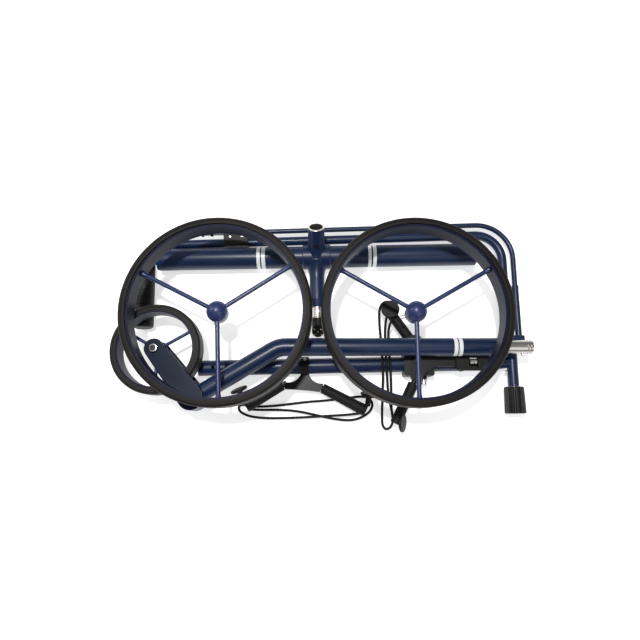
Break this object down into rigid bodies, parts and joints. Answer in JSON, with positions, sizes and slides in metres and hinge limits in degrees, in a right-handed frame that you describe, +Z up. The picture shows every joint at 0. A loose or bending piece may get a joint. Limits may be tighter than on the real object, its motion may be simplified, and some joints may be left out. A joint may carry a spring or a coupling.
{
  "type": "golf trolley",
  "caption": "Golf trolley taken apart and packed flat: folding handle frame and spine, drive axle, curved front arm with its wheel, and its large wheels on top.",
  "frame": {"origin": "on the ground under the middle of the packed trolley", "axes": "+X along the pack towards the handle hinge, +Y towards the axle side, +Z up"},
  "size_m": [0.734, 0.3929, 0.129],
  "materials": {
    "frame_paint": "satin",
    "wheel_paint": "satin",
    "tyre": "matt",
    "black_plastic": "matt",
    "black_rubber": "matt",
    "cord": "matt woven cover",
    "steel": "brushed",
    "button_plastic": "gloss",
    "contact": "bright",
    "motor_steel": "plain",
    "hub_alloy": "turned"
  },
  "bodies": {
    "handle": {"handle_tube": "frame_paint", "bow_tube": "frame_paint", "grip_rubber": "black_rubber", "bow_end_block": "frame_paint", "tube_holder": "black_plastic", "bow_sleeve": "frame_paint", "hinge_yoke": "frame_paint", "hinge_shaft": "steel"},
    "dial": {"speed_dial": "black_plastic"},
    "knob": {"clamp_knob": "black_plastic"},
    "spine": {"spine_tube": "frame_paint", "spine_knuckle": "frame_paint", "spine_contact_socket": "black_plastic"},
    "lock": {"lock_pin": "steel"},
    "lower_cradle": {"lower_cradle_frame": "black_plastic", "lower_cradle_sleeves": "black_rubber", "lower_cradle_caps": "black_rubber", "lower_cradle_screw": "steel", "lower_bungee": "cord"},
    "upper_cradle": {"upper_cradle_frame": "black_plastic", "upper_cradle_sleeves": "black_rubber", "upper_cradle_caps": "black_rubber", "upper_clamp_jaw": "black_plastic", "clamp_bolt": "steel", "pivot_block": "black_plastic", "upper_bungee": "cord"},
    "nut": {"thumb_nut": "steel"},
    "axle": {"axle_tube": "frame_paint", "axle_tee": "frame_paint", "socket_liner": "steel", "leg_neck": "steel", "plug_body": "black_plastic", "contact_pins": "contact", "gear_motors": "motor_steel", "axle_bearings": "black_plastic"},
    "left_drive": {"left_drive_shaft": "steel"},
    "right_drive": {"right_drive_shaft": "steel"},
    "socket_latch": {"socket_button": "button_plastic"},
    "arm": {"arm_tube": "frame_paint", "arm_spigot": "steel", "fork_knuckle": "frame_paint", "fork_upper_blade": "frame_paint", "fork_lower_blade": "frame_paint", "front_axle_bolt": "steel"},
    "spigot_latch": {"spigot_button": "steel"},
    "front_wheel": {"front_tyre": "tyre", "front_rim": "wheel_paint", "front_spokes": "wheel_paint"},
    "left_core": {"left_hub_core": "hub_alloy"},
    "left_wheel": {"left_tyre": "tyre", "left_rim": "wheel_paint", "left_spokes": "wheel_paint", "left_hub": "wheel_paint"},
    "left_catch": {"left_release": "steel"},
    "right_core": {"right_hub_core": "hub_alloy"},
    "right_wheel": {"right_tyre": "tyre", "right_rim": "wheel_paint", "right_spokes": "wheel_paint", "right_hub": "wheel_paint"},
    "right_catch": {"right_release": "steel"}
  },
  "joints": [
    {"name": "dial_turn", "type": "hinge", "parent": "handle", "child": "dial", "pos_m": [-0.3307, 0.03282, 0.0185], "axis": [0.0323, -0.9995, 0], "range_deg": [-150, 150]},
    {"name": "knob_turn", "type": "hinge", "parent": "handle", "child": "knob", "pos_m": [0.345, -0.14, 0.0185], "axis": [0, -1, 0], "continuous": true},
    {"name": "spine_fold", "type": "hinge", "parent": "handle", "child": "spine", "pos_m": [0.345, -0.0719, 0.0185], "axis": [0, -1, 0], "range_deg": [0, 180]},
    {"name": "lock_pull", "type": "slide", "parent": "spine", "child": "lock", "axis": [-1, 0, 0], "range_m": [0, 0.003], "stiffness_N_per_m": 600},
    {"name": "lower_cradle_swing", "type": "hinge", "parent": "spine", "child": "lower_cradle", "pos_m": [-0.031, -0.07912, 0.0185], "axis": [0.9998, 0.0192, 0], "range_deg": [0, 95]},
    {"name": "upper_cradle_slide", "type": "slide", "parent": "spine", "child": "upper_cradle", "axis": [0.9998, 0.0192, 0], "range_m": [0, 0.03]},
    {"name": "nut_turn", "type": "hinge", "parent": "upper_cradle", "child": "nut", "pos_m": [0.267, -0.073, 0.0413], "axis": [1, 0, 0], "continuous": true},
    {"name": "axle_lift", "type": "slide", "parent": "handle", "child": "axle", "axis": [0, 0, 1], "range_m": [0, 0.3]},
    {"name": "left_drive_spin", "type": "hinge", "parent": "axle", "child": "left_drive", "pos_m": [-0.31035, 0.12095, 0.023], "axis": [-0.9998, -0.0182, 0], "continuous": true},
    {"name": "right_drive_spin", "type": "hinge", "parent": "axle", "child": "right_drive", "pos_m": [0.28955, 0.13184, 0.023], "axis": [0.9998, 0.0182, 0], "continuous": true},
    {"name": "socket_press", "type": "slide", "parent": "axle", "child": "socket_latch", "axis": [-0.0139, 0.7659, -0.6428], "range_m": [0, 0.001], "stiffness_N_per_m": 600},
    {"name": "arm_lift", "type": "slide", "parent": "axle", "child": "arm", "axis": [0, 0, 1], "range_m": [0, 0.3]},
    {"name": "spigot_press", "type": "slide", "parent": "arm", "child": "spigot_latch", "axis": [0, 1, 0], "range_m": [0, 0.003], "stiffness_N_per_m": 600},
    {"name": "front_wheel_spin", "type": "hinge", "parent": "arm", "child": "front_wheel", "pos_m": [-0.2885, -0.055, 0.059], "axis": [0, 0, 1], "continuous": true},
    {"name": "left_core_lift", "type": "slide", "parent": "arm", "child": "left_core", "axis": [0, 0, 1], "range_m": [0, 0.3]},
    {"name": "left_wheel_spin", "type": "hinge", "parent": "left_core", "child": "left_wheel", "pos_m": [-0.1772, 0.0033, 0.1065], "axis": [0, 0, 1], "continuous": true},
    {"name": "left_catch_press", "type": "slide", "parent": "left_core", "child": "left_catch", "axis": [0.2924, 0.9563, 0], "range_m": [0, 0.002], "stiffness_N_per_m": 600},
    {"name": "right_core_lift", "type": "slide", "parent": "arm", "child": "right_core", "axis": [0, 0, 1], "range_m": [0, 0.3]},
    {"name": "right_wheel_spin", "type": "hinge", "parent": "right_core", "child": "right_wheel", "pos_m": [0.1582, 0.0033, 0.1065], "axis": [0, 0, 1], "continuous": true},
    {"name": "right_catch_press", "type": "slide", "parent": "right_core", "child": "right_catch", "axis": [0.9659, 0.2588, 0], "range_m": [0, 0.002], "stiffness_N_per_m": 600}
  ]
}
